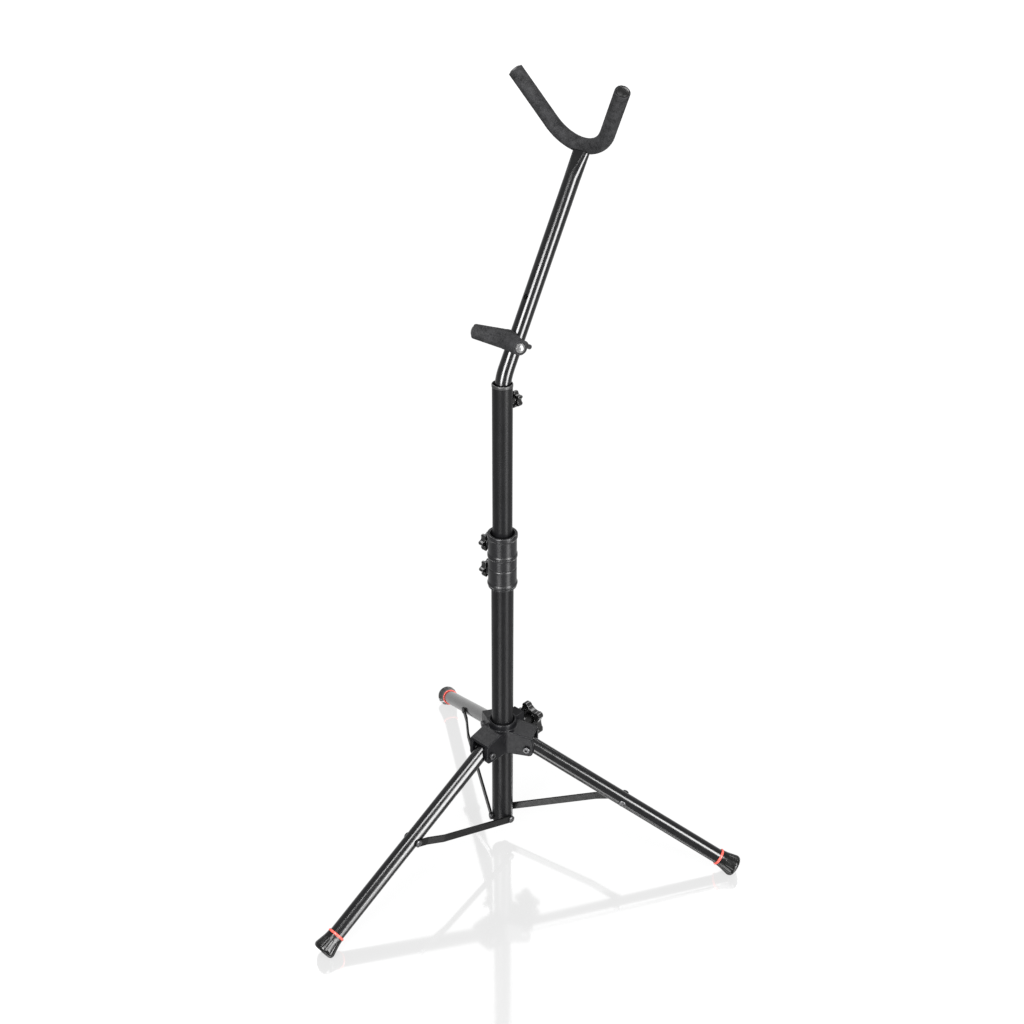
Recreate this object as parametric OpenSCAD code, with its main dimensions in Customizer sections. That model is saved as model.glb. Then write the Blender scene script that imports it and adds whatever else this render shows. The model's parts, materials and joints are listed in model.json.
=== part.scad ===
// Folding tripod stand for a saxophone
// A sliding hub spreads three tube legs, a telescoping mast carries a bent arm with a padded
// yoke for the bell and a padded two-armed peg for the body of the instrument.
// Units are millimetres. The mast axis is the Z axis and the floor is Z = 0.
// The front leg points to -Y, the instrument leans in from the -Y side.

/* [Mast] */
// outer diameter of the lower mast tube
mast_od = 28.6; // [26:0.1:30]
// wall of the lower mast tube
mast_wall = 1.5; // [1.2:0.1:1.6]
// height of the bottom end of the lower mast tube
mast_bottom_z = 29.5; // [24:0.5:30]
// height of the top end of the lower mast tube, inside the clutch
mast_top_z = 448; // [446:1:450]

/* [Telescoping tubes] */
// outer diameter of the middle tube
mid_od = 25; // [24.6:0.1:25.2]
// wall of the middle tube
mid_wall = 1.2; // [1:0.1:1.4]
// height of the bottom end of the middle tube, hidden in the lower one
mid_bottom_z = 330; // [300:5:360]
// height of the top rim of the middle tube
mid_top_z = 688.4; // [680:0.1:700]
// outer diameter of the bent arm
arm_od = 19.5; // [19:0.1:20]
// wall of the bent arm
arm_wall = 1.3; // [1:0.1:1.6]
// lean of the bent arm from the vertical
arm_lean = 28; // [20:1:35]

/* [Legs] */
// outer diameter of a leg tube
leg_od = 20; // [18:0.1:20]
// wall of a leg tube
leg_wall = 1.2; // [1:0.1:1.5]
// slope of the spread legs below the horizontal
leg_slope = 28.49; // [26:0.01:30]
// distance of a foot's red ring from the mast axis
foot_reach = 302.5; // [280:0.5:320]
// number of flutes round a rubber foot
foot_flutes = 12; // [8:1:14]

/* [Hub] */
// half the width of a hub wing
wing_half_w = 16.5; // [16:0.1:18]
// reach of a hub wing from the mast axis
wing_reach = 46; // [45:0.5:50]
// height of the underside of the hub
hub_bottom_z = 155; // [153:0.5:157]
// height of the rim of the hub
hub_top_z = 199.9; // [197:0.1:203]

/* [Yoke and peg] */
// outer diameter of the yoke's foam sleeve
yoke_foam_d = 18.2; // [16:0.1:20]
// half the spread of the yoke between its tips
yoke_half_span = 80.2; // [70:0.1:90]
// splay of each yoke arm from the yoke's centre line
yoke_splay = 32; // [20:1:34]
// diameter of a peg arm's foam at its tip
peg_tip_d = 17.6; // [16:0.1:18]
// diameter of a peg arm's foam at its root
peg_root_d = 24; // [22:0.5:25]

/* [Hidden] */
$fn = 64;
leg_dirs = [-90, 30, 150];
eps = 0.01;

// running and assembly clearances
fit_run = 0.05;
fit_slide = 0.08;
gap = 0.35;

// a bend is drawn this much fatter than its straight ends, which run this far into it
bend_grow = 0.1;
bend_lap = 0.5;

// lower mast
mast_r = mast_od / 2;
mast_ir = mast_r - mast_wall;

// middle tube
mid_r = mid_od / 2;
mid_ir = mid_r - mid_wall;

// bent arm: vertical part, bend and leaning part in the YZ plane
arm_r = arm_od / 2;
arm_ir = arm_r - arm_wall;
arm_bottom_z = 560;
arm_corner_z = 692;
bend_r = 60;
bend_tan = bend_r * tan(arm_lean / 2);
bend_z = arm_corner_z - bend_tan;
arm_len = 282.7;
arm_flat_w = 23.5;
arm_flat_t = 9;
arm_flat_len = 34;
peg_s = 47;
spare_s = 100.7;
peg_hole_r = 3.3;

// leg geometry in a leg's own plane: x outward, z up
foot_ring_z = 22.2;
pivot_x = 37.4;
pivot_z = foot_ring_z + (foot_reach - pivot_x) * tan(leg_slope);
leg_r = leg_od / 2;
leg_back = 10;
channel_back_x = 21.5;
leg_to_ring = (foot_reach - pivot_x) / cos(leg_slope);
leg_end = leg_to_ring + 18;
pivot_pin_r = 4;

// struts
strut_w = 10;
strut_t = 2.5;
strut_in_z = 34.4;
strut_in_off = 15.9;
strut_out_off = 11.6;
strut_out_x = 168.6;
strut_out_z = foot_ring_z + (foot_reach - strut_out_x) * tan(leg_slope);
strut_len = sqrt(pow(strut_out_x, 2) + pow(strut_out_z - strut_in_z, 2));
strut_rise = atan2(strut_out_z - strut_in_z, strut_out_x);
strut_on_leg = (strut_out_x - pivot_x) / cos(leg_slope);
rivet_r = 3;
rivet_head_r = 5;

// hub
channel_half_w = 10.5;
wing_lip_x = 44.5;
hub_deck_z = 190.4;
wing_deck_z = 183.5;
wing_deck_t = 3;
hub_ring_r = 18.6;
hub_core_r = 19.3;
boss_half_w = 9;
boss_reach = 33;
hub_knob_z = 171;

// clutch collars
collar_r = 18.25;
clutch_z = 408.9;
clutch_seam_z = 455;
stop_top_z = 486;
clutch_knob_z = 424;
stop_knob_z = 463;
mid_knob_z = 661;

// yoke in its own plane: x across, y up the plane, drawn round its lowest centre point
yoke_s = 285.7;
yoke_z = arm_corner_z + yoke_s * cos(arm_lean);
yoke_y = yoke_s * sin(arm_lean);
yoke_rise = 83.6;
yoke_tilt = 21.2;
yoke_k = (yoke_rise - yoke_half_span * (1 - sin(yoke_splay)) / cos(yoke_splay))
    / (cos(yoke_splay) - sin(yoke_splay) * (1 - sin(yoke_splay)) / cos(yoke_splay));
yoke_arc_r = (yoke_half_span - yoke_k * sin(yoke_splay)) / cos(yoke_splay);
yoke_arc_a = 90 - yoke_splay;
yoke_rod_r = 4.75;
yoke_cap_r = 7.3;

// peg arms
peg_joint = 15.75;
peg_arm_len = 42.5;
peg_splay = 64.4;
peg_droop = 5;
stud_r = 3;
stud_back = 28.8;
peg_rod_r = 3.5;
peg_knot_r = 4.3;

// Which sub-part to draw

// ---------- shared shapes ----------

// hollow cylinder along +Z
module pipe(r_out, r_in, len) {
    difference() {
        cylinder(h = len, r = r_out);
        translate([0, 0, -1])
            cylinder(h = len + 2, r = r_in);
    }
}

// cylinder with both edges chamfered
module chamfered(r, len, c) {
    rotate_extrude()
        polygon([[0, 0], [r - c, 0], [r, c], [r, len - c], [r - c, len], [0, len]]);
}

// turns a child drawn along +Z to point along +Y at height z
module to_back(z) {
    translate([0, 0, z])
        rotate([-90, 0, 0])
            children();
}

// turns a child drawn along +Z to point along -X at height z
module to_left(z) {
    translate([0, 0, z])
        rotate([0, -90, 0])
            children();
}

// turns a child drawn in a leg's plane to one leg
module on_leg(i) {
    rotate([0, 0, leg_dirs[i]])
        children();
}

// child drawn along +Z is turned to run down a leg from its hub pivot
module along_leg(i) {
    on_leg(i)
        translate([pivot_x, 0, pivot_z])
            rotate([0, 90 + leg_slope, 0])
                children();
}

// child drawn along +Z is turned across a leg's plane at x, z
module across(i, x, z) {
    on_leg(i)
        translate([x, 0, z])
            rotate([-90, 0, 0])
                children();
}

// child drawn along +Z from the bend corner runs up the leaning arm
module on_arm() {
    translate([0, 0, arm_corner_z])
        rotate([-arm_lean, 0, 0])
            children();
}

// child drawn along +Z is turned out of the arm toward the instrument, at s up the arm
module peg_axis(s) {
    on_arm()
        translate([0, 0, s])
            rotate([90, 0, 0])
                children();
}

// outline of a lobed grip: round lobes with a hollow between each two
module star_outline(r, lobes) {
    half = 180 / lobes;
    hollow = r * 0.96 * (1.09 - 1.12 * cos(half)) / (1.6 * cos(half) - 1);
    difference() {
        union() {
            circle(r = r * 0.8);
            for (a = [0 : lobes - 1])
                rotate(a * half * 2 + half)
                    translate([r * 0.8, 0])
                        circle(r = r * 0.2);
        }
        for (a = [0 : lobes - 1])
            rotate(a * half * 2)
                translate([r * 0.7 + hollow, 0])
                    circle(r = hollow);
    }
}

// lobed grip with a neck, its axis along +Z
module star_grip(r, lobes, z_neck, neck_r, z_head, head_t) {
    difference() {
        union() {
            translate([0, 0, z_neck])
                cylinder(h = z_head + head_t / 2 - z_neck, r = neck_r);
            translate([0, 0, z_head])
                linear_extrude(height = head_t * 0.82)
                    star_outline(r, lobes);
            translate([0, 0, z_head + head_t * 0.8])
                linear_extrude(height = head_t * 0.2)
                    star_outline(r * 0.93, lobes);
        }
        translate([0, 0, z_head - 1])
            pipe(r * 0.6, neck_r, head_t * 0.45 + 1);
    }
}

// bar outline with round ends, across a strut's plane
module strut_outline() {
    translate([0, -strut_w / 2])
        square([strut_len, strut_w]);
    circle(d = strut_w);
    translate([strut_len, 0])
        circle(d = strut_w);
}

// domed rivet head standing on z = 0
module rivet_head(r, h) {
    rotate_extrude()
        polygon([[0, 0], [r, 0], [r, h * 0.35], [r * 0.82, h * 0.8], [r * 0.5, h], [0, h]]);
}

// round screw head with a hexagon socket, standing on z = 0
module socket_head(r, h, socket) {
    difference() {
        chamfered(r, h, 0.6);
        translate([0, 0, h - 2])
            cylinder(h = 3, r = socket, $fn = 6);
    }
}

// ---------- lower mast ----------

module lower_tube() {
    color([0.09, 0.09, 0.1])
        difference() {
            translate([0, 0, mast_bottom_z])
                pipe(mast_r, mast_ir, mast_top_z - mast_bottom_z);
            for (i = [0 : 2])
                across(i, 0, strut_in_z)
                    translate([0, 0, mast_ir - 4])
                        cylinder(h = 8, r = rivet_r + fit_run);
            to_left(clutch_knob_z)
                translate([0, 0, mast_ir - 4])
                    cylinder(h = 8, r = 4);
        }
}

module base_plug() {
    color([0.07, 0.07, 0.07])
        translate([0, 0, mast_bottom_z - 2]) {
            chamfered(mast_r, 2, 0.8);
            pipe(mast_ir, mast_ir - 2, 2.3);
        }
}

module base_rivets() {
    color([0.75, 0.75, 0.76])
        for (i = [0 : 2])
            across(i, 0, strut_in_z) {
                translate([0, 0, mast_ir - 2])
                    cylinder(h = 1.1, r = 4.4);
                translate([0, 0, mast_ir - 1])
                    cylinder(h = strut_in_off + strut_t / 2 + gap - mast_ir + 1, r = rivet_r);
                translate([0, 0, strut_in_off + strut_t / 2 + gap])
                    rivet_head(rivet_head_r, 1.8);
            }
}

// ---------- clutch on top of the lower mast ----------

module clutch() {
    color([0.1, 0.1, 0.11])
        difference() {
            union() {
                rotate_extrude()
                    polygon([[0, clutch_z], [collar_r, clutch_z], [collar_r, 412],
                        [collar_r + 1.1, 413], [collar_r + 1.1, 415.4], [collar_r, 416.4],
                        [collar_r, 436], [collar_r - 0.7, 436.8], [collar_r - 0.7, 437.8],
                        [collar_r, 438.6], [collar_r, 452], [collar_r + 0.9, 453],
                        [collar_r + 0.9, clutch_seam_z], [0, clutch_seam_z]]);
                to_left(clutch_knob_z)
                    translate([0, 0, 10])
                        cylinder(h = 11.5, r = 8);
            }
            translate([0, 0, clutch_z - 1])
                cylinder(h = mast_top_z - clutch_z + 1, r = mast_r);
            translate([0, 0, mast_top_z - 1])
                cylinder(h = 12, r = mid_r + gap);
            to_left(clutch_knob_z)
                cylinder(h = 30, r = 3 + fit_run);
        }
}

module clutch_bushing() {
    color([0.13, 0.13, 0.13])
        translate([0, 0, 428]) {
            difference() {
                pipe(mast_ir, mid_r + fit_run, mast_top_z - 428);
                translate([-40, -1, -1])
                    cube([27, 2, 40]);
            }
        }
}

module clutch_knob() {
    color([0.06, 0.06, 0.06])
        to_left(clutch_knob_z)
            difference() {
                star_grip(12, 6, 21.9, 6, 23.2, 8);
                translate([0, 0, 20])
                    cylinder(h = 8, r = 3);
            }
}

module clutch_screw() {
    color([0.7, 0.7, 0.72])
        to_left(clutch_knob_z)
            translate([0, 0, mid_r + gap])
                cylinder(h = 28 - mid_r - gap, r = 3);
}

// ---------- stop collar on the middle tube ----------

module stop_collar() {
    color([0.1, 0.1, 0.11])
        difference() {
            union() {
                rotate_extrude()
                    polygon([[0, clutch_seam_z + gap], [collar_r + 0.9, clutch_seam_z + gap],
                        [collar_r + 0.9, 457], [collar_r, 458], [collar_r, 479],
                        [collar_r + 1.1, 480.2], [collar_r + 1.1, stop_top_z - 1],
                        [collar_r + 0.3, stop_top_z], [0, stop_top_z]]);
                to_left(stop_knob_z)
                    translate([0, 0, 10])
                        cylinder(h = 11.5, r = 7.2);
            }
            translate([0, 0, clutch_seam_z - 1])
                cylinder(h = 40, r = mid_r + fit_slide);
            translate([0, 0, 478])
                cylinder(h = 8 + eps, r1 = mid_r + fit_slide, r2 = mid_r + 3.4);
            to_left(stop_knob_z)
                cylinder(h = 30, r = 3 + fit_run);
        }
}

module stop_knob() {
    color([0.06, 0.06, 0.06])
        to_left(stop_knob_z)
            difference() {
                star_grip(12.6, 6, 21.9, 6, 23.2, 8);
                translate([0, 0, 20])
                    cylinder(h = 8, r = 3);
            }
}

module stop_screw() {
    color([0.7, 0.7, 0.72])
        to_left(stop_knob_z)
            translate([0, 0, mid_r + gap])
                cylinder(h = 28 - mid_r - gap, r = 3);
}

// ---------- hub ----------

// side outline of one wing: x outward, y up
module wing_outline() {
    polygon([[8, hub_bottom_z], [wing_reach - 6, hub_bottom_z],
        [wing_reach - 3, hub_bottom_z + 0.8], [wing_reach - 0.9, hub_bottom_z + 2.9],
        [wing_reach, hub_bottom_z + 6], [wing_reach, wing_deck_z - 4],
        [wing_lip_x, wing_deck_z - 3.5], [wing_lip_x, wing_deck_z],
        [hub_ring_r, hub_deck_z], [8, hub_deck_z]]);
}

// space for a leg inside one wing
module channel_outline() {
    polygon([[channel_back_x, hub_bottom_z - 5], [wing_reach + 5, hub_bottom_z - 5],
        [wing_reach + 5, wing_deck_z - wing_deck_t],
        [wing_lip_x, wing_deck_z - wing_deck_t],
        [channel_back_x, hub_deck_z - wing_deck_t - 1.2]]);
}

module hub() {
    color([0.12, 0.12, 0.13])
        difference() {
            union() {
                for (i = [0 : 2])
                    on_leg(i)
                        rotate([90, 0, 0])
                            translate([0, 0, -wing_half_w])
                                linear_extrude(height = wing_half_w * 2)
                                    wing_outline();
                rotate_extrude()
                    polygon([[0, hub_bottom_z - 0.6], [hub_ring_r, hub_bottom_z - 0.6],
                        [hub_core_r, hub_bottom_z], [hub_core_r, hub_deck_z - 8],
                        [hub_ring_r, hub_deck_z - 7], [hub_ring_r, hub_top_z - 1.4],
                        [hub_ring_r - 1.2, hub_top_z], [0, hub_top_z]]);
                translate([-boss_half_w, 8, hub_bottom_z + 1.5])
                    cube([boss_half_w * 2, boss_reach - 8, hub_top_z - 3.5 - hub_bottom_z]);
            }
            for (i = [0 : 2]) {
                on_leg(i)
                    rotate([90, 0, 0])
                        translate([0, 0, -channel_half_w])
                            linear_extrude(height = channel_half_w * 2)
                                channel_outline();
                across(i, pivot_x, pivot_z)
                    translate([0, 0, -20])
                        cylinder(h = 40, r = pivot_pin_r);
            }
            translate([0, 0, hub_bottom_z - 1])
                cylinder(h = hub_top_z - hub_bottom_z + 2, r = mast_r + fit_slide);
            translate([0, 0, hub_top_z - 3])
                cylinder(h = 3 + eps, r1 = mast_r + fit_slide, r2 = mast_r + 2);
            to_back(hub_knob_z)
                translate([0, 0, 10])
                    cylinder(h = 30, r = 6.5);
        }
}

module hub_insert() {
    color([0.72, 0.6, 0.32])
        to_back(hub_knob_z)
            difference() {
                translate([0, 0, 17])
                    cylinder(h = boss_reach - 17, r = 6.5);
                translate([0, 0, 10])
                    cylinder(h = 30, r = 4 + fit_run);
            }
}

module pivot_barrels() {
    color([0.78, 0.78, 0.8])
        for (i = [0 : 2])
            across(i, pivot_x, pivot_z)
                mirror([0, 0, 1]) {
                    translate([0, 0, wing_half_w])
                        socket_head(4.6, 3.3, 2.2);
                    translate([0, 0, -wing_half_w + 2.5])
                        pipe(pivot_pin_r, 2.5, wing_half_w * 2 - 4.5);
                    translate([0, 0, wing_half_w - 2 - eps])
                        cylinder(h = 2 + eps * 2, r = pivot_pin_r);
                }
}

module pivot_screws() {
    color([0.78, 0.78, 0.8])
        for (i = [0 : 2])
            across(i, pivot_x, pivot_z) {
                translate([0, 0, wing_half_w])
                    socket_head(4.6, 3.3, 2.2);
                translate([0, 0, -8])
                    cylinder(h = wing_half_w + 8 + eps, r = 2.5);
                translate([0, 0, wing_half_w - 2.4])
                    cylinder(h = 2.4 + eps, r = pivot_pin_r);
            }
}

module hub_knob() {
    color([0.06, 0.06, 0.06])
        to_back(hub_knob_z)
            difference() {
                star_grip(24.5, 5, boss_reach + 1.5, 8, 50, 10);
                translate([0, 0, boss_reach])
                    cylinder(h = 22, r = 4);
            }
}

module hub_screw() {
    color([0.7, 0.7, 0.72])
        to_back(hub_knob_z)
            translate([0, 0, mast_r + gap])
                cylinder(h = 55 - mast_r - gap, r = 4);
}

// ---------- legs ----------

module leg_tube(i) {
    color([0.04, 0.04, 0.045])
        along_leg(i)
            difference() {
                translate([0, 0, -leg_back])
                    pipe(leg_r, leg_r - leg_wall, leg_end + leg_back);
                rotate([90, 0, 0])
                    translate([0, 0, -leg_od])
                        cylinder(h = leg_od * 2, r = pivot_pin_r + fit_run);
                translate([0, 0, strut_on_leg])
                    rotate([90, 0, 0])
                        translate([0, 0, -leg_od])
                            cylinder(h = leg_od * 2, r = rivet_r);
            }
}

module leg_plug(i) {
    color([0.08, 0.08, 0.08])
        along_leg(i)
            translate([0, 0, -leg_back]) {
                translate([0, 0, -1])
                    chamfered(leg_r, 1, 0.3);
                cylinder(h = 5, r = leg_r - leg_wall);
            }
}

module foot_ring(i) {
    color([0.75, 0.2, 0.19])
        along_leg(i)
            translate([0, 0, leg_to_ring - 1.2])
                difference() {
                    chamfered(11.7, 2.4, 0.7);
                    translate([0, 0, -1])
                        cylinder(h = 5, r = leg_r);
                }
}

module foot(i) {
    color([0.05, 0.05, 0.05])
        difference() {
            along_leg(i)
                translate([0, 0, leg_to_ring + 1.2])
                    difference() {
                        rotate_extrude()
                            polygon([[0, 0], [11.1, 0], [11.3, 3], [12, 8], [13.2, 13.5],
                                [14.3, 18.5], [14.7, 20.5], [14.5, 22.5], [13.6, 24.4],
                                [12, 25.6], [10, 26.2], [0, 26.2]]);
                        translate([0, 0, -1])
                            cylinder(h = leg_end - leg_to_ring - 0.2, r = leg_r);
                        for (a = [0 : foot_flutes - 1])
                            rotate([0, 0, (a + 0.5) * 360 / foot_flutes])
                                translate([12.7, 0, 7])
                                    rotate([0, 12.5, 0])
                                        cylinder(h = 20, r1 = 1.1, r2 = 1.9, $fn = 24);
                    }
            translate([-400, -400, -20])
                cube([800, 800, 20]);
        }
}

module strut_pin(i) {
    color([0.75, 0.75, 0.76])
        along_leg(i)
            translate([0, 0, strut_on_leg])
                rotate([90, 0, 0]) {
                    translate([0, 0, -leg_r + 0.1])
                        cylinder(h = leg_od, r = rivet_r);
                    translate([0, 0, leg_r + 0.1])
                        rivet_head(4.6, 1.5);
                }
}

// ---------- struts ----------

module strut(i) {
    joggle_a = strut_len - 44;
    joggle_b = strut_len - 17;
    y1 = strut_in_off - strut_t / 2;
    y2 = strut_out_off - strut_t / 2;
    color([0.06, 0.06, 0.065])
        on_leg(i)
            translate([0, 0, strut_in_z])
                rotate([0, -strut_rise, 0])
                    difference() {
                        intersection() {
                            translate([0, 0, -strut_w])
                                linear_extrude(height = strut_w * 2)
                                    polygon([[-9, y1], [joggle_a, y1], [joggle_b, y2],
                                        [strut_len + 9, y2], [strut_len + 9, y2 + strut_t],
                                        [joggle_b, y2 + strut_t], [joggle_a, y1 + strut_t],
                                        [-9, y1 + strut_t]]);
                            rotate([90, 0, 0])
                                translate([0, 0, -30])
                                    linear_extrude(height = 60)
                                        strut_outline();
                        }
                        for (x = [0, strut_len])
                            translate([x, 0, 0])
                                rotate([-90, 0, 0])
                                    cylinder(h = 30, r = rivet_r + fit_run);
                    }
}

module strut_rivet(i) {
    color([0.75, 0.75, 0.76])
        across(i, strut_out_x, strut_out_z) {
            translate([0, 0, leg_r + gap + 0.1])
                cylinder(h = strut_out_off + strut_t / 2 - leg_r - gap, r = rivet_r + fit_run);
            translate([0, 0, strut_out_off + strut_t / 2])
                rivet_head(rivet_head_r, 1.6);
        }
}

// ---------- middle tube ----------

module mid_tube() {
    color([0.09, 0.09, 0.1])
        difference() {
            translate([0, 0, mid_bottom_z])
                pipe(mid_r, mid_ir, mid_top_z - 4.6 - mid_bottom_z);
            to_back(mid_knob_z)
                translate([0, 0, mid_ir - 4])
                    cylinder(h = 8, r = 5);
        }
}

module mid_glide() {
    color([0.85, 0.85, 0.82])
        translate([0, 0, mid_bottom_z - 12]) {
            pipe(mast_ir - fit_run, mid_ir - 1.5, 12);
            translate([0, 0, 12 - eps])
                pipe(mid_ir, mid_ir - 1.5, 10);
        }
}

module mid_cap() {
    color([0.08, 0.08, 0.085])
        difference() {
            union() {
                rotate_extrude()
                    polygon([[0, mid_top_z - 4.6], [mid_r, mid_top_z - 4.6],
                        [mid_r + 0.5, mid_top_z - 4], [mid_r + 0.5, mid_top_z - 0.8],
                        [mid_r - 0.3, mid_top_z], [0, mid_top_z]]);
                translate([0, 0, mid_top_z - 22])
                    cylinder(h = 20, r = mid_ir);
            }
            translate([0, 0, mid_top_z - 30])
                cylinder(h = 40, r = arm_r + fit_run);
            translate([0, 0, mid_top_z - 13])
                cylinder(h = 13 + eps, r1 = arm_r + fit_run, r2 = arm_r + 2.1);
        }
}

module mid_insert() {
    color([0.1, 0.1, 0.1])
        to_back(mid_knob_z)
            difference() {
                translate([0, 0, mid_ir - 0.5])
                    cylinder(h = 17 - mid_ir, r = 5);
                translate([0, 0, 5])
                    cylinder(h = 20, r = 3 + fit_run);
            }
}

module mid_knob() {
    color([0.06, 0.06, 0.06])
        to_back(mid_knob_z)
            difference() {
                star_grip(11, 6, 17, 5, 18.2, 7.5);
                translate([0, 0, 15])
                    cylinder(h = 8, r = 3);
            }
}

module mid_screw() {
    color([0.7, 0.7, 0.72])
        to_back(mid_knob_z)
            translate([0, 0, arm_r + gap])
                cylinder(h = 23 - arm_r - gap, r = 3);
}

// ---------- bent arm ----------

module arm_sleeve() {
    color([0.85, 0.85, 0.82])
        translate([0, 0, arm_bottom_z - 6])
            difference() {
                pipe(mid_ir - fit_slide, arm_r + fit_run, 46);
                translate([0, 0, -1])
                    cylinder(h = 5, r = arm_r + fit_run);
            }
}

// solid or bore of the bent arm up to its flattened end
module arm_run(r, over) {
    translate([0, 0, arm_bottom_z - over])
        rotate([0, 0, -90])
            cylinder(h = bend_z - arm_bottom_z + over + bend_lap, r = r);
    translate([0, bend_r, bend_z])
        rotate([90, 0, -90])
            rotate_extrude(angle = arm_lean)
                translate([bend_r, 0])
                    circle(r = r + bend_grow);
    on_arm()
        translate([0, 0, bend_tan - bend_lap])
            rotate([0, 0, -90])
                cylinder(h = arm_len - arm_flat_len - bend_tan + bend_lap, r = r);
}

module arm_tube() {
    color([0.04, 0.04, 0.045])
        difference() {
            union() {
                arm_run(arm_r, 0);
                on_arm()
                    hull() {
                        translate([0, 0, arm_len - arm_flat_len - 0.5])
                            cylinder(h = 1, r = arm_r + 0.06);
                        for (x = [-1, 1])
                            translate([x * (arm_flat_w - arm_flat_t) / 2, 0, arm_len - 1])
                                cylinder(h = 1, d = arm_flat_t, $fn = 32);
                    }
            }
            arm_run(arm_ir, 1);
            for (s = [peg_s, spare_s])
                peg_axis(s)
                    translate([0, 0, -arm_od])
                        cylinder(h = arm_od * 2, r = peg_hole_r);
            yoke_frame()
                yoke_sweep(yoke_rod_r, 0);
        }
}

// ---------- yoke ----------

// places the yoke's own plane: x across, y up the plane
module yoke_frame() {
    translate([0, yoke_y, yoke_z])
        rotate([90 + yoke_tilt, 0, 0])
            children();
}

// U-shaped round bar of radius r; the straight arms end short of the tips by cut
module yoke_sweep(r, cut) {
    translate([0, yoke_arc_r, 0])
        rotate([0, 0, -90 - yoke_arc_a])
            rotate_extrude(angle = yoke_arc_a * 2)
                translate([yoke_arc_r, 0])
                    circle(r = r + bend_grow);
    for (m = [0, 1])
        mirror([m, 0, 0])
            translate([yoke_arc_r * cos(yoke_splay), yoke_arc_r * (1 - sin(yoke_splay)), 0])
                rotate([0, 0, -yoke_splay])
                    rotate([-90, 0, 0])
                        translate([0, 0, -bend_lap])
                            cylinder(h = yoke_k - cut + bend_lap, r = r);
}

// child drawn along +Z points out of each tip of the yoke
module yoke_ends() {
    for (m = [0, 1])
        mirror([m, 0, 0])
            translate([yoke_half_span, yoke_rise, 0])
                rotate([0, 0, -yoke_splay])
                    rotate([-90, 0, 0])
                        children();
}

module yoke_rod() {
    color([0.05, 0.05, 0.05])
        yoke_frame()
            yoke_sweep(yoke_rod_r, 6);
}

module yoke_foam() {
    color([0.24, 0.24, 0.24])
        difference() {
            yoke_frame()
                difference() {
                    yoke_sweep(yoke_foam_d / 2, -1);
                    yoke_sweep(yoke_rod_r, -3);
                    yoke_ends()
                        translate([0, 0, -3])
                            cylinder(h = 6, r = yoke_cap_r);
                }
            on_arm()
                translate([-arm_flat_w / 2 - gap, -arm_flat_t / 2 - gap - 0.5, arm_len - 25])
                    cube([arm_flat_w + gap * 2, arm_flat_t + gap * 2 + 1, 25 + eps]);
        }
}

module yoke_caps() {
    color([0.05, 0.05, 0.05])
        yoke_frame()
            yoke_ends() {
                translate([0, 0, -6])
                    cylinder(h = 4, r = yoke_rod_r);
                translate([0, 0, -3])
                    rotate_extrude()
                        polygon([[0, 0], [yoke_cap_r, 0], [yoke_cap_r, 4],
                            [yoke_cap_r * 0.8, 4.9], [yoke_cap_r * 0.5, 5.5],
                            [0, 5.8]]);
            }
}

// ---------- peg ----------

// child drawn along +Z runs up one padded arm of the peg
module peg_arm(m) {
    peg_axis(peg_s)
        mirror([m, 0, 0])
            translate([0, 0, peg_joint])
                rotate([peg_droop, peg_splay, 0])
                    children();
}

module peg_rod() {
    color([0.7, 0.7, 0.72]) {
        peg_axis(peg_s)
            translate([0, 0, -stud_back])
                chamfered(stud_r, peg_joint + stud_back, 0.8);
        for (m = [0, 1])
            peg_arm(m)
                cylinder(h = peg_arm_len - 4, r = peg_rod_r);
        peg_axis(peg_s)
            translate([0, 0, peg_joint])
                sphere(r = peg_knot_r);
    }
}

module peg_foam() {
    color([0.22, 0.22, 0.22])
        difference() {
            union() {
                for (m = [0, 1])
                    peg_arm(m)
                        cylinder(h = peg_arm_len, d1 = peg_root_d, d2 = peg_tip_d);
                peg_axis(peg_s)
                    translate([0, 0, peg_joint])
                        sphere(d = peg_root_d + 0.6);
            }
            on_arm()
                cylinder(h = 100, r = arm_r + gap);
            peg_axis(peg_s)
                cylinder(h = peg_joint, r = stud_r);
            for (m = [0, 1])
                peg_arm(m) {
                    cylinder(h = peg_arm_len + 1, r = peg_rod_r);
                    translate([0, 0, peg_arm_len - 3])
                        cylinder(h = 5, r = 6);
                }
            peg_axis(peg_s)
                translate([0, 0, peg_joint])
                    sphere(r = peg_knot_r);
        }
}

module peg_caps() {
    color([0.35, 0.35, 0.36])
        for (m = [0, 1])
            peg_arm(m)
                translate([0, 0, peg_arm_len - 3])
                    difference() {
                        rotate_extrude()
                            polygon([[0, 0], [6, 0], [6, 3.2], [5, 4.4], [3, 5.2], [0, 5.5]]);
                        translate([0, 0, -2])
                            cylinder(h = 2 + eps, r = peg_rod_r);
                    }
}

module peg_washer() {
    color([0.75, 0.75, 0.76])
        peg_axis(peg_s)
            translate([0, 0, -arm_r - 2.4])
                difference() {
                    cylinder(h = 1.4, r = 6.5);
                    translate([0, 0, -1])
                        cylinder(h = 4, r = stud_r + fit_run);
                }
}

module peg_nut() {
    color([0.06, 0.06, 0.06])
        peg_axis(peg_s)
            mirror([0, 0, 1])
                translate([0, 0, arm_r + 2.4])
                    difference() {
                        chamfered(5.2, 7, 0.8);
                        for (a = [0 : 9])
                            rotate([0, 0, a * 36])
                                translate([5.5, 0, -1])
                                    cylinder(h = 10, r = 0.7);
                        translate([0, 0, -1])
                            cylinder(h = 20, r = stud_r + fit_run);
                    }
}

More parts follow.
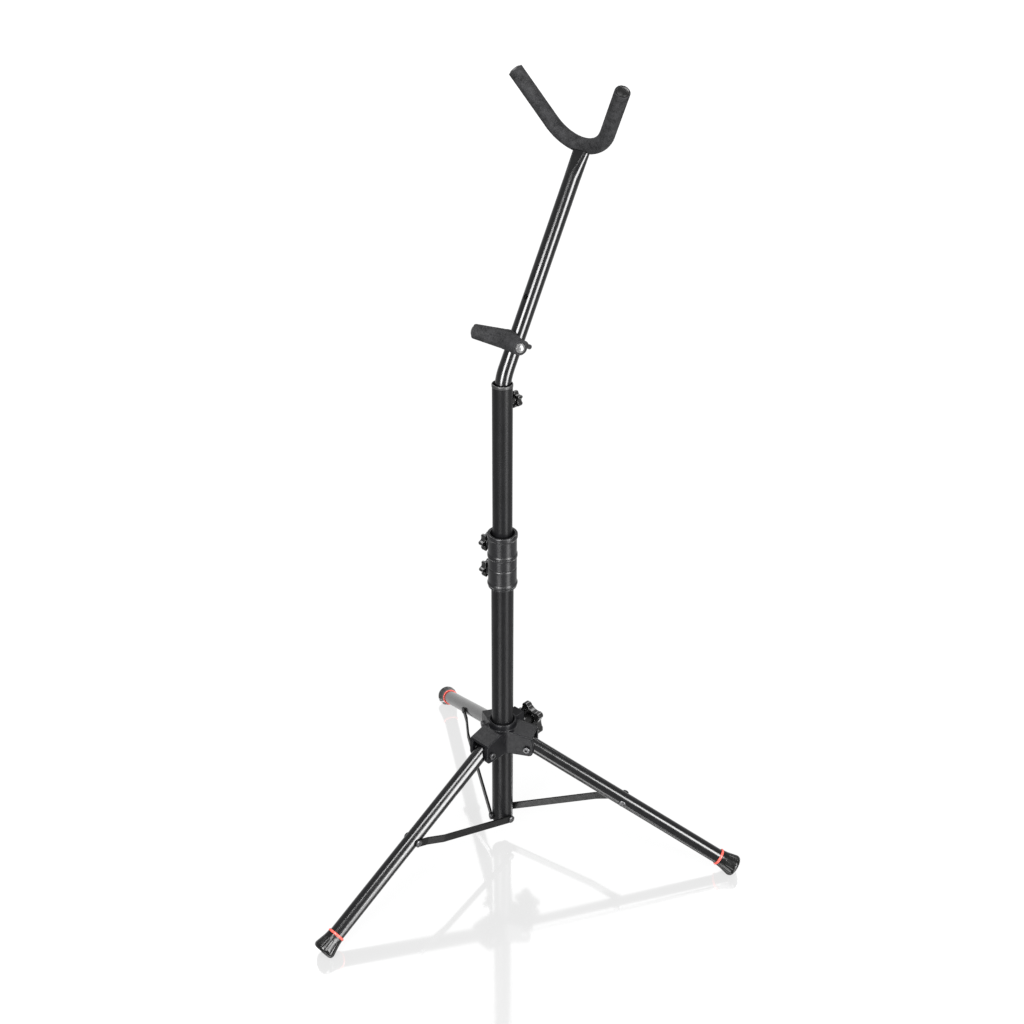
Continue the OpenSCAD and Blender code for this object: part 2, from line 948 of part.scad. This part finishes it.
lower_tube();
base_plug();
base_rivets();
clutch();
clutch_bushing();
clutch_knob();
clutch_screw();
stop_collar();
stop_knob();
stop_screw();
hub();
pivot_barrels();
pivot_screws();
hub_insert();
hub_knob();
hub_screw();
leg_tube(0);  // leg_front
leg_tube(1);  // leg_right
leg_tube(2);  // leg_left
leg_plug(0);  // leg_plug_front
leg_plug(1);  // leg_plug_right
leg_plug(2);  // leg_plug_left
foot_ring(0);  // foot_ring_front
foot_ring(1);  // foot_ring_right
foot_ring(2);  // foot_ring_left
foot(0);  // foot_front
foot(1);  // foot_right
foot(2);  // foot_left
strut_pin(0);  // strut_pin_front
strut_pin(1);  // strut_pin_right
strut_pin(2);  // strut_pin_left
strut(0);  // strut_front
strut(1);  // strut_right
strut(2);  // strut_left
strut_rivet(0);  // strut_rivet_front
strut_rivet(1);  // strut_rivet_right
strut_rivet(2);  // strut_rivet_left
mid_tube();
mid_glide();
mid_cap();
mid_insert();
mid_knob();
mid_screw();
arm_sleeve();
arm_tube();
yoke_rod();
yoke_foam();
yoke_caps();
peg_rod();
peg_foam();
peg_caps();
peg_nut();
peg_washer();
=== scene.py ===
"""Folding saxophone stand: materials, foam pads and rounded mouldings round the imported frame."""

import json
import math

import bpy
import numpy as np
from mathutils import Matrix, Vector

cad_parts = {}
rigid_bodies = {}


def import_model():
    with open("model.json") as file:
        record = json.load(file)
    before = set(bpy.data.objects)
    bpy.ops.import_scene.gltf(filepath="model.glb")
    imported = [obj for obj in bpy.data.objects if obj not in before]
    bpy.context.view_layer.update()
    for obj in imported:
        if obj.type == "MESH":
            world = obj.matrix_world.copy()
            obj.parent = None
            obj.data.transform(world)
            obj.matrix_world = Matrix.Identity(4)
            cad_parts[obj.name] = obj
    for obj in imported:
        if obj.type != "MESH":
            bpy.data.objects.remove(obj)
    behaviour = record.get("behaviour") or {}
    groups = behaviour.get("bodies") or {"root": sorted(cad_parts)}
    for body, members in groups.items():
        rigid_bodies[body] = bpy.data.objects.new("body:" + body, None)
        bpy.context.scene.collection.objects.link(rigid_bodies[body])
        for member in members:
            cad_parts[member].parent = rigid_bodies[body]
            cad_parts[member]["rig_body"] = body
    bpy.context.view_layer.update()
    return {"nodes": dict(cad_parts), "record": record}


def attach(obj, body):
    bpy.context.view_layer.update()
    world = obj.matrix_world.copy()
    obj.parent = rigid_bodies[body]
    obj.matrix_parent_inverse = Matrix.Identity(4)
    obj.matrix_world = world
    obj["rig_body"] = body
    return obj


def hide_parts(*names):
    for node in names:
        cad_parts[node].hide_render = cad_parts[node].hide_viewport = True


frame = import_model()
nodes = frame["nodes"]
MM = 0.001
SLOT_OF = {sub["node"]: sub["material_slot"] for sub in frame["record"]["subparts"]}
BODY_OF = {node: source["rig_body"] for node, source in nodes.items()}

# ---------- camera, lights and floor ----------

# The camera was fitted to the tubes, legs and feet. Its heading and azimuth differ a little,
# because it doesn't point straight at the mast. Azimuths go from -Y towards +X.
CAMERA_AT = Vector((1.0979, -1.1267, 1.3776))
CAMERA_HEADING = math.radians(43.827)
CAMERA_PITCH = math.radians(28.74)
CAMERA_ROLL = 0.0033
CAMERA_LENS = 50.98
CAMERA_AZIMUTH = math.radians(44.257)

STAND_CENTRE = Vector((0, 0.05, 0))
WORLD_STRENGTH = 1.0
WHITE = (1, 1, 1, 1)

# The floor mostly glows, so that it stays white under every light. What little it reflects is a
# weak mirror image of the legs.
FLOOR_HALF = 20
FLOOR_COLOUR = (0.014, 0.014, 0.014, 1)
FLOOR_ROUGHNESS = 0.08
FLOOR_IOR = 2.6
FLOOR_GLOW = 0.73

# Azimuth is in degrees, to the right of the camera's own. Lengths are in metres, and aim is the
# height on the stand that the light faces.
SOFTBOXES = {
    "key_right": dict(azimuth=46, away=1.75, height=0.85, width=0.7, tall=1.6, radiance=58),
    "key_left": dict(
        azimuth=-28, away=1.75, height=1.15, width=0.7, tall=1.3, radiance=75, aim=0.8
    ),
    "top": dict(azimuth=-10, away=1.0, height=2.5, width=1.5, tall=0.4, radiance=60),
    "back_right": dict(
        azimuth=140, away=1.7, height=2.0, width=0.8, tall=1.0, radiance=22, aim=0.6
    ),
    "back_left": dict(
        azimuth=220, away=1.6, height=2.1, width=0.8, tall=0.9, radiance=22, aim=0.6
    ),
}


def make_camera():
    data = bpy.data.cameras.new("camera")
    data.lens = CAMERA_LENS
    data.clip_end = 100
    camera = bpy.data.objects.new("camera", data)
    bpy.context.scene.collection.objects.link(camera)
    camera.matrix_world = (
        Matrix.Translation(CAMERA_AT)
        @ Matrix.Rotation(CAMERA_HEADING, 4, "Z")
        @ Matrix.Rotation(math.pi / 2 - CAMERA_PITCH, 4, "X")
        @ Matrix.Rotation(CAMERA_ROLL, 4, "Z")
    )
    bpy.context.scene.camera = camera


def make_softbox(name, azimuth, away, height, width, tall, radiance, aim=0.5):
    """An area light that faces the stand and is itself out of the picture."""
    data = bpy.data.lights.new(name, "AREA")
    data.shape = "RECTANGLE"
    data.size, data.size_y = width, tall
    data.energy = radiance * math.pi * width * tall
    light = bpy.data.objects.new(name, data)
    bpy.context.scene.collection.objects.link(light)
    angle = CAMERA_AZIMUTH + math.radians(azimuth)
    beside = Vector((math.sin(angle) * away, -math.cos(angle) * away, height))
    light.location = STAND_CENTRE + beside
    facing = STAND_CENTRE + Vector((0, 0, aim)) - light.location
    light.rotation_mode = "QUATERNION"
    light.rotation_quaternion = facing.to_track_quat("-Z", "Y")
    light.visible_camera = False


def make_world():
    bpy.context.scene.view_settings.view_transform = "Standard"
    world = bpy.data.worlds.new("studio")
    bpy.context.scene.world = world
    world.use_nodes = True
    background = world.node_tree.nodes["Background"]
    background.inputs["Color"].default_value = WHITE
    background.inputs["Strength"].default_value = WORLD_STRENGTH


def make_floor():
    mesh = bpy.data.meshes.new("floor")
    corners = ((-1, -1), (1, -1), (1, 1), (-1, 1))
    mesh.from_pydata([(x * FLOOR_HALF, y * FLOOR_HALF, 0) for x, y in corners], [], [(0, 1, 2, 3)])
    floor = bpy.data.objects.new("floor", mesh)
    bpy.context.scene.collection.objects.link(floor)
    material = bpy.data.materials.new("floor")
    material.use_nodes = True
    shader = material.node_tree.nodes["Principled BSDF"]
    shader.inputs["Base Color"].default_value = FLOOR_COLOUR
    shader.inputs["Roughness"].default_value = FLOOR_ROUGHNESS
    shader.inputs["IOR"].default_value = FLOOR_IOR
    shader.inputs["Emission Color"].default_value = WHITE
    shader.inputs["Emission Strength"].default_value = FLOOR_GLOW
    mesh.materials.append(material)


# ---------- materials ----------

# Nearly all of the noise lies between these two values.
NOISE_LOW, NOISE_HIGH = 0.3, 0.7


class Shade:
    """Builds one procedural material. Every length is in metres on the piece itself."""

    def __init__(self, name, colour, roughness, metallic=0.0, **sockets):
        self.material = bpy.data.materials.new(name)
        self.material.use_nodes = True
        self.tree = self.material.node_tree
        self.shader = self.tree.nodes["Principled BSDF"]
        self.where = self.tree.nodes.new("ShaderNodeTexCoord").outputs["Object"]
        self.normal = None
        self.shader.inputs["Base Color"].default_value = (*colour, 1)
        self.shader.inputs["Roughness"].default_value = roughness
        self.shader.inputs["Metallic"].default_value = metallic
        for socket, value in sockets.items():
            self.shader.inputs[socket.replace("_", " ")].default_value = value

    def link(self, a, b):
        self.tree.links.new(a, b)

    def scaled(self, scale, location=(0, 0, 0)):
        """Coordinates on the piece, scaled along each axis."""
        place = self.tree.nodes.new("ShaderNodeMapping")
        place.inputs["Location"].default_value = location
        place.inputs["Scale"].default_value = scale
        self.link(self.where, place.inputs["Vector"])
        return place.outputs["Vector"]

    def noise(self, size, stretch=(1, 1, 1), detail=3.0, offset=0.0):
        """Grey noise with features of that size, longer along an axis by its stretch."""
        scale = [1 / (size * s) for s in stretch]
        grain = self.tree.nodes.new("ShaderNodeTexNoise")
        grain.inputs["Scale"].default_value = 1.0
        grain.inputs["Detail"].default_value = detail
        grain.inputs["Roughness"].default_value = 0.6
        location = (offset, offset * 1.7, offset * 0.6)
        self.link(self.scaled(scale, location), grain.inputs["Vector"])
        return grain.outputs["Fac"]

    def cells(self, size):
        """Rounded cells of that size."""
        cell = self.tree.nodes.new("ShaderNodeTexVoronoi")
        cell.feature = "SMOOTH_F1"
        cell.inputs["Scale"].default_value = 1.0
        self.link(self.scaled([1 / size] * 3), cell.inputs["Vector"])
        return cell.outputs["Distance"]

    def levels(self, value, low, high, to_low, to_high):
        """Maps the range low to high onto another, without going past its ends."""
        node = self.tree.nodes.new("ShaderNodeMapRange")
        node.inputs["From Min"].default_value = low
        node.inputs["From Max"].default_value = high
        node.inputs["To Min"].default_value = to_low
        node.inputs["To Max"].default_value = to_high
        self.link(value, node.inputs["Value"])
        return node.outputs["Result"]

    def tint(self, value, low, high, most, colour):
        """Mixes in a colour where the value is above low, and the most of it from high up."""
        node = self.tree.nodes.new("ShaderNodeMix")
        node.data_type = "RGBA"
        socket = self.shader.inputs["Base Color"]
        if socket.is_linked:
            self.link(socket.links[0].from_socket, node.inputs["A"])
        else:
            node.inputs["A"].default_value = socket.default_value
        node.inputs["B"].default_value = (*colour, 1)
        self.link(self.levels(value, low, high, 0, most), node.inputs["Factor"])
        self.link(node.outputs["Result"], socket)

    def rough(self, value, low, high):
        """Roughness from low to high, as the noise goes from its own low to its high."""
        mapped = self.levels(value, NOISE_LOW, NOISE_HIGH, low, high)
        self.link(mapped, self.shader.inputs["Roughness"])

    def bump(self, height, depth, strength=1.0):
        """Relief of that depth, on top of the relief or the rounding so far."""
        node = self.tree.nodes.new("ShaderNodeBump")
        node.inputs["Strength"].default_value = strength
        node.inputs["Distance"].default_value = depth
        self.link(height, node.inputs["Height"])
        if self.normal is not None:
            self.link(self.normal, node.inputs["Normal"])
        self.normal = node.outputs["Normal"]
        self.link(self.normal, self.shader.inputs["Normal"])

    def round_edges(self, radius):
        node = self.tree.nodes.new("ShaderNodeBevel")
        node.samples = 4
        node.inputs["Radius"].default_value = radius
        self.normal = node.outputs["Normal"]
        self.link(self.normal, self.shader.inputs["Normal"])


def satin_tube():
    """Powder coat with faint streaks along the tube."""
    m = Shade("satin_tube", (0.0008, 0.0008, 0.0009), 0.36, Specular_IOR_Level=0.07)
    m.rough(m.noise(20 * MM, stretch=(1, 1, 6)), 0.33, 0.42)
    streaks = m.noise(6 * MM, stretch=(1, 1, 4))
    m.tint(streaks, 0.35, 0.75, most=0.6, colour=(0.0017, 0.0017, 0.0019))
    m.bump(m.noise(1.1 * MM, detail=2), depth=0.06 * MM, strength=0.5)
    return m.material


def gloss_tube():
    """Gloss enamel, smooth but for a slow waviness."""
    m = Shade("gloss_tube", (0.0005, 0.0005, 0.0006), 0.19, Specular_IOR_Level=0.2)
    m.rough(m.noise(12 * MM), 0.16, 0.22)
    m.tint(m.noise(20 * MM), 0.4, 0.8, most=0.5, colour=(0.0012, 0.0012, 0.0014))
    m.bump(m.noise(30 * MM, detail=1), depth=0.02 * MM, strength=0.3)
    return m.material


def plastic(name, colour, roughness, grain, depth, edge, gleam=0.22):
    """Plastic, rubber or enamelled steel: a grain of that size and depth, and its edges shaded
    as if rounded to the radius edge."""
    m = Shade(name, colour, roughness, Specular_IOR_Level=gleam)
    m.round_edges(edge)
    m.tint(m.noise(8 * MM), 0.4, 0.8, most=0.5, colour=[c * 1.7 for c in colour])
    m.rough(m.noise(5 * MM, offset=3.0), roughness - 0.06, roughness + 0.06)
    m.bump(m.noise(grain, detail=2), depth, strength=0.6)
    return m.material


def metal(name, colour, roughness):
    """Bare or plated metal, a little dull in patches."""
    m = Shade(name, colour, roughness, metallic=1.0)
    m.rough(m.noise(2 * MM), roughness - 0.06, roughness + 0.1)
    m.tint(m.noise(1.5 * MM), 0.5, 0.8, most=0.5, colour=[c * 0.7 for c in colour])
    m.bump(m.noise(0.4 * MM), depth=0.02 * MM, strength=0.4)
    return m.material


def foam(name, dark, light):
    """Foam rubber: open cells, paler where its skin is rubbed."""
    m = Shade(name, dark, 0.92, Specular_IOR_Level=0.05)
    m.tint(m.noise(11 * MM, detail=4), 0.35, 0.68, most=0.55, colour=light)
    m.tint(m.noise(1.3 * MM, detail=2), 0.42, 0.66, most=0.5, colour=light)
    m.rough(m.noise(4 * MM, offset=2.0), 0.84, 0.97)
    m.bump(m.cells(1.6 * MM), depth=0.3 * MM, strength=0.35)
    m.bump(m.noise(0.7 * MM, detail=2), depth=0.25 * MM, strength=0.5)
    return m.material


# The plastics: colour, roughness, grain, depth and edge in millimetres, and the specular level
# where it isn't plastic()'s own. The blacks are this dark because a white room lights them.
PLASTICS = {
    "black_plastic": ((0.0022,) * 3, 0.42, 0.5, 0.03, 0.4),
    "collar_plastic": ((0.0015, 0.0015, 0.0017), 0.32, 0.6, 0.04, 0.8, 0.13),
    "hub_plastic": ((0.0011, 0.0011, 0.0013), 0.36, 0.7, 0.05, 1.3, 0.055),
    "glide_plastic": ((0.3, 0.3, 0.28), 0.45, 0.6, 0.03, 0.3),
    "knob_plastic": ((0.0012,) * 3, 0.26, 0.9, 0.02, 0.8),
    "black_steel": ((0.0015,) * 3, 0.35, 0.8, 0.02, 0.3),
    "strut_steel": ((0.001,) * 3, 0.34, 1, 0.02, 0.3, 0.08),
    "foot_rubber": ((0.0008,) * 3, 0.22, 1.5, 0.02, 0.7, 0.12),
    "ring_red": ((0.15, 0.017, 0.012), 0.36, 0.8, 0.02, 0.4),
    "cap_rubber": ((0.001,) * 3, 0.42, 0.6, 0.02, 0.5, 0.07),
    "peg_cap_plastic": ((0.016,) * 3, 0.22, 1, 0.02, 0.6, 0.3),
}
MATERIALS = {
    "satin_tube": satin_tube(),
    "gloss_tube": gloss_tube(),
    "zinc_steel": metal("zinc_steel", (0.018, 0.018, 0.019), 0.45),
    "bright_steel": metal("bright_steel", (0.035, 0.035, 0.036), 0.42),
    "brass_insert": metal("brass_insert", (0.35, 0.25, 0.12), 0.3),
    "foam": foam("foam", dark=(0.001, 0.001, 0.0011), light=(0.0115, 0.0115, 0.012)),
}
for slot, (colour, roughness, grain, depth, edge, *gleam) in PLASTICS.items():
    MATERIALS[slot] = plastic(slot, colour, roughness, grain * MM, depth * MM, edge * MM, *gleam)

for node, slot in SLOT_OF.items():
    nodes[node].data.materials.clear()
    nodes[node].data.materials.append(MATERIALS[slot])

# ---------- foam and moulded pieces ----------

# Outside a bore, the rounding comes back over this distance.
BORE_FADE = 1.5 * MM
# The foam's skin is uneven at these multiples of this size.
LUMP_SIZE = 4 * MM
LUMP_SIZES = (1, 0.55, 2.3)


def positions(mesh):
    found = np.zeros(len(mesh.vertices) * 3)
    mesh.vertices.foreach_get("co", found)
    return found.reshape(-1, 3)


def remeshed(node, voxel, rounds):
    """An even closed mesh of a node's solid, smoothed, and its points before the smoothing."""
    mesh = nodes[node].data.copy()
    draft = bpy.data.objects.new(node + "_draft", mesh)
    bpy.context.scene.collection.objects.link(draft)
    remesh = draft.modifiers.new("remesh", "REMESH")
    remesh.mode = "VOXEL"
    remesh.voxel_size = voxel
    evaluated = draft.evaluated_get(bpy.context.evaluated_depsgraph_get())
    plain = positions(evaluated.data)
    smooth = draft.modifiers.new("smooth", "SMOOTH")
    smooth.factor = 0.5
    smooth.iterations = rounds
    evaluated = draft.evaluated_get(bpy.context.evaluated_depsgraph_get())
    made = bpy.data.meshes.new_from_object(evaluated)
    bpy.data.objects.remove(draft)
    bpy.data.meshes.remove(mesh)
    return made, plain


def unevenness(points):
    """Gentle lumps in every direction, from -3 to 3."""
    wave = np.zeros(len(points))
    for i, share in enumerate(LUMP_SIZES):
        turn = Matrix.Rotation(0.7 + i, 3, Vector((1, 2 + i, 3)).normalized())
        q = points @ np.array(turn) * (2 * math.pi / (LUMP_SIZE * share))
        wave += np.sin(q[:, 0]) * np.sin(q[:, 1] + i) * np.sin(q[:, 2] + 2 * i)
    return wave


def moulded(name, node, voxel, rounds, lumps=0.0, bore=None):
    """A closed copy of a node's solid with its edges rounded off, and its surface uneven by lumps.
    A bore, given as a point on its axis, its direction and a radius, keeps its size."""
    made, plain = remeshed(node, voxel, rounds)
    points = positions(made)
    if bore:
        start, direction, radius = bore
        out = np.linalg.norm(np.cross(plain - np.array(start), np.array(direction)), axis=1)
        share = np.clip((out - radius) / BORE_FADE, 0, 1)
        points = plain + (points - plain) * share[:, None]
    if lumps:
        normals = np.array([tuple(v.normal) for v in made.vertices])
        points = points + normals * (unevenness(points) * lumps)[:, None]
    made.vertices.foreach_set("co", points.ravel())
    made.name = name
    made.polygons.foreach_set("use_smooth", [True] * len(made.polygons))
    made.materials.clear()
    made.materials.append(MATERIALS[SLOT_OF[node]])
    made.update()
    piece = bpy.data.objects.new(name, made)
    bpy.context.scene.collection.objects.link(piece)
    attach(piece, BODY_OF[node])
    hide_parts(node)
    return piece


def widen(piece, factor):
    """Stretches a ring along its own axis, about its middle."""
    mesh = piece.data
    points = positions(mesh)
    middle = points.mean(0)
    away = points - middle
    axis = np.linalg.eigh(away.T @ away)[1][:, 0]
    points = middle + away + np.outer(away @ axis, axis) * (factor - 1)
    mesh.vertices.foreach_set("co", points.ravel())
    mesh.update()


# The rings look wider in the photograph than they are in the CAD.
RING_STRETCH = 1.35
# Heights of the two collars' screws, and the radius round each that isn't rounded.
SCREW_HEIGHTS = {"clutch": 0.424, "stop_collar": 0.463}
SCREW_CLEAR = 4 * MM

for side in ("front", "right", "left"):
    ring = moulded("ring_" + side, "foot_ring_" + side, voxel=0.25 * MM, rounds=4)
    widen(ring, RING_STRETCH)
    moulded("boot_" + side, "foot_" + side, voxel=0.4 * MM, rounds=3)
moulded("soft_hub", "hub", voxel=0.6 * MM, rounds=6)
moulded("soft_mid_cap", "mid_cap", voxel=0.4 * MM, rounds=6)
for collar, screw_height in SCREW_HEIGHTS.items():
    bore = ((0, 0, screw_height), (1, 0, 0), SCREW_CLEAR)
    moulded("soft_" + collar, collar, voxel=0.45 * MM, rounds=8, bore=bore)
for knob in ("hub_knob", "clutch_knob", "stop_knob", "mid_knob"):
    moulded("soft_" + knob, knob, voxel=0.35 * MM, rounds=4)

yoke_pad = moulded("yoke_pad", "yoke_foam", voxel=0.7 * MM, rounds=12, lumps=0.06 * MM)
peg_pad = moulded("peg_pad", "peg_foam", voxel=0.6 * MM, rounds=36, lumps=0.05 * MM)

make_camera()
make_world()
make_floor()
for name, place in SOFTBOXES.items():
    make_softbox(name, **place)
